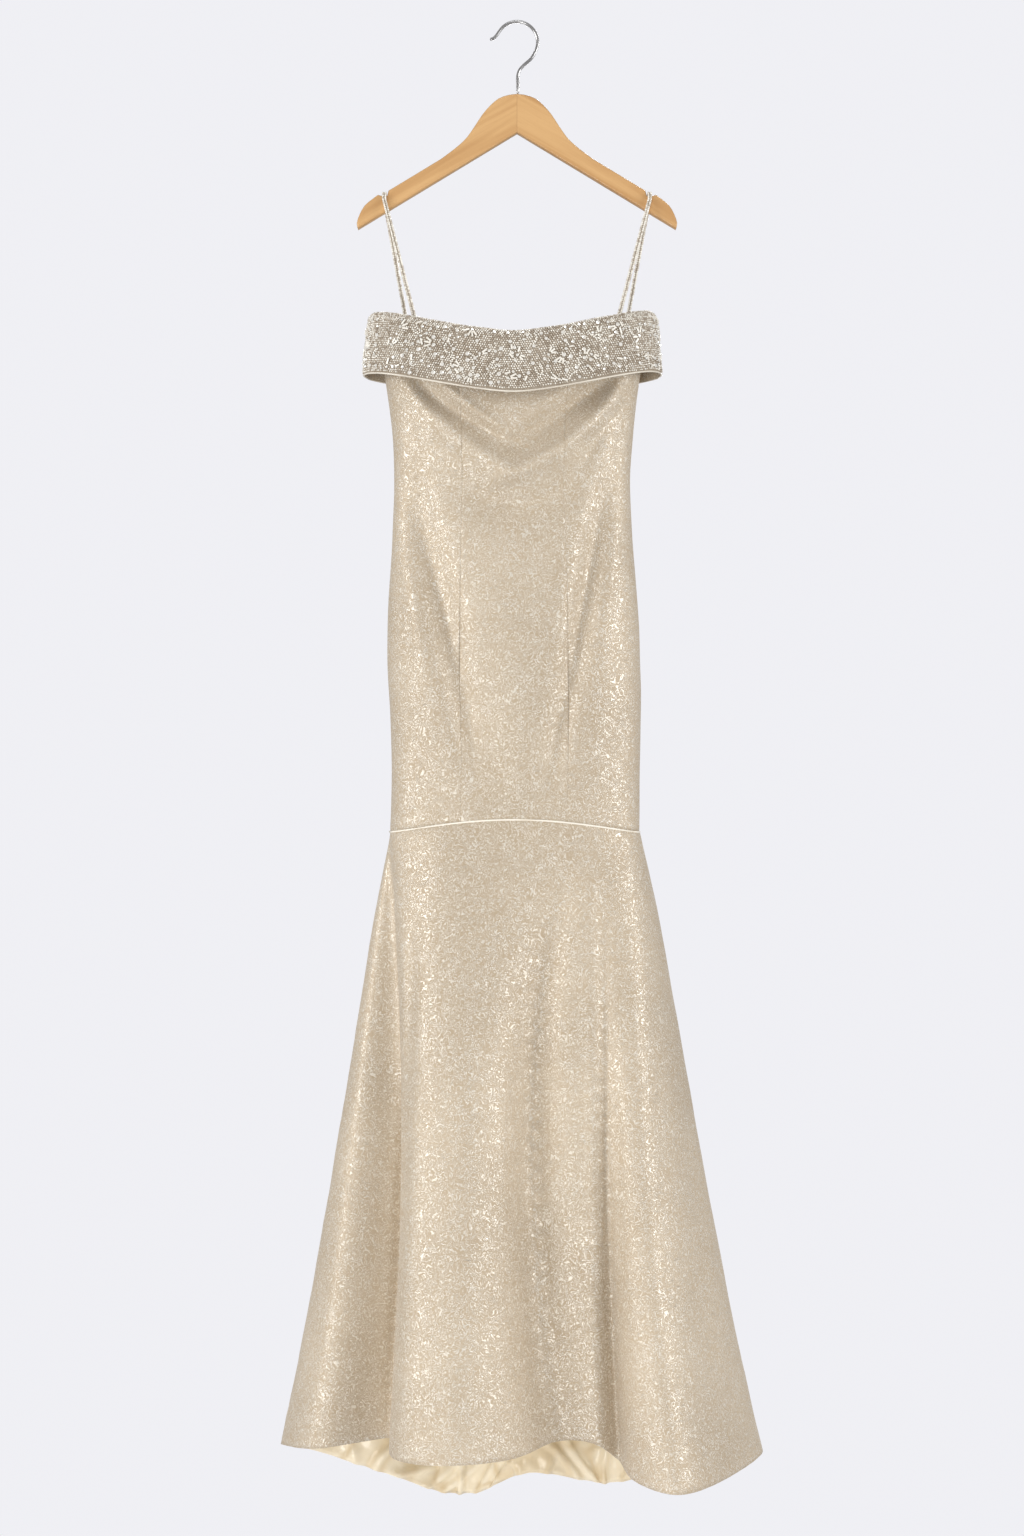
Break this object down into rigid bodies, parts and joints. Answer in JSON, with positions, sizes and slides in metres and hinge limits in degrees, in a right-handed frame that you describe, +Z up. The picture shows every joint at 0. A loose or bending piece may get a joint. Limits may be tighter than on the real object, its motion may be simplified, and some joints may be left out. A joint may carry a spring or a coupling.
{
  "type": "mermaid gown on a wooden hanger",
  "caption": "Floor-length mermaid gown in champagne brocade with a turned-down beaded band, thin beaded straps and a flared satin-lined skirt, hung on a wooden hanger.",
  "frame": {"origin": "the inner top of the hook's bend, where a rail or peg carries it", "axes": "+Z up, +Y towards the gown's back, +X towards the right as seen from the front"},
  "size_m": [0.5925, 0.3252, 1.8541],
  "materials": {
    "brocade": "champagne metallic brocade with short cream glints",
    "beading": "silvery taupe cloth covered with seed beads, bugle beads and round stones",
    "satin": "pale gold satin",
    "zip_tape": "woven zip tape in champagne",
    "wood": "honey beech under clear lacquer",
    "chrome": "bright plated wire"
  },
  "bodies": {
    "root": {"front_centre": "brocade", "front_side_left": "brocade", "front_side_right": "brocade", "back_left": "brocade", "back_right": "brocade", "back_zip": "zip_tape", "collar_front": "beading", "collar_back": "beading", "strap_left": "beading", "strap_right": "beading", "skirt_front": "brocade", "skirt_back": "brocade", "skirt_lining": "satin", "hanger_body": "wood", "hanger_hook": "chrome"}
  },
  "joints": []
}
